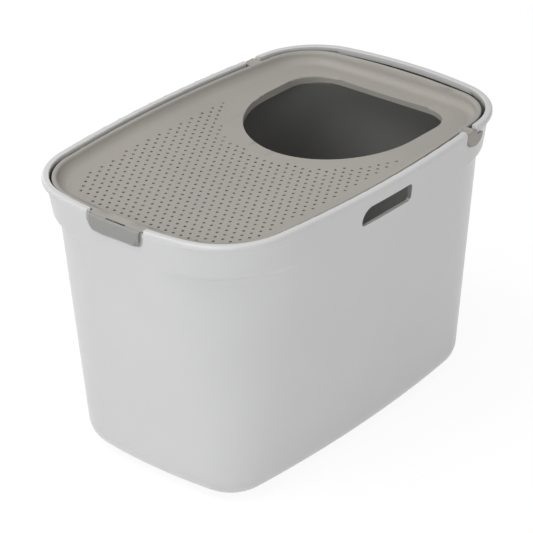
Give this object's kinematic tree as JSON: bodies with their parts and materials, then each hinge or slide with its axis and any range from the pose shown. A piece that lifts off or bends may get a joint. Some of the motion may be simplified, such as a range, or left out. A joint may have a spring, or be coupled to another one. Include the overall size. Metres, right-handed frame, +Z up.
{
  "type": "top entry litter box",
  "caption": "Deep tapered litter tub with a sunken, perforated top lid; cats enter by the rounded hole in the lid, which snaps at the front and tips up on two side ears.",
  "frame": {"origin": "on the floor, under the middle of the rim's bounding box", "axes": "+Z up; +Y along the length, from the latch end towards the entry hole; +X to the right when seen from the latch end"},
  "size_m": [0.392, 0.59, 0.383],
  "materials": {
    "tub_plastic": "smooth, softly glossy light grey-white moulded polypropylene",
    "lid_plastic": "fine matte warm grey moulded polypropylene"
  },
  "bodies": {
    "tub": {"tub": "tub_plastic"},
    "lid": {"lid": "lid_plastic"},
    "front_latch": {"front_latch": "lid_plastic"}
  },
  "joints": [
    {"name": "lid_hinge", "type": "hinge", "parent": "tub", "child": "lid", "pos_m": [0, 0.178, 0.3755], "axis": [-1, 0, 0], "range_deg": [0, 95]},
    {"name": "latch_flex", "type": "hinge", "parent": "lid", "child": "front_latch", "pos_m": [0, -0.2905, 0.38], "axis": [-1, 0, 0], "range_deg": [0, 8], "stiffness_Nm_per_rad": 0.5}
  ]
}
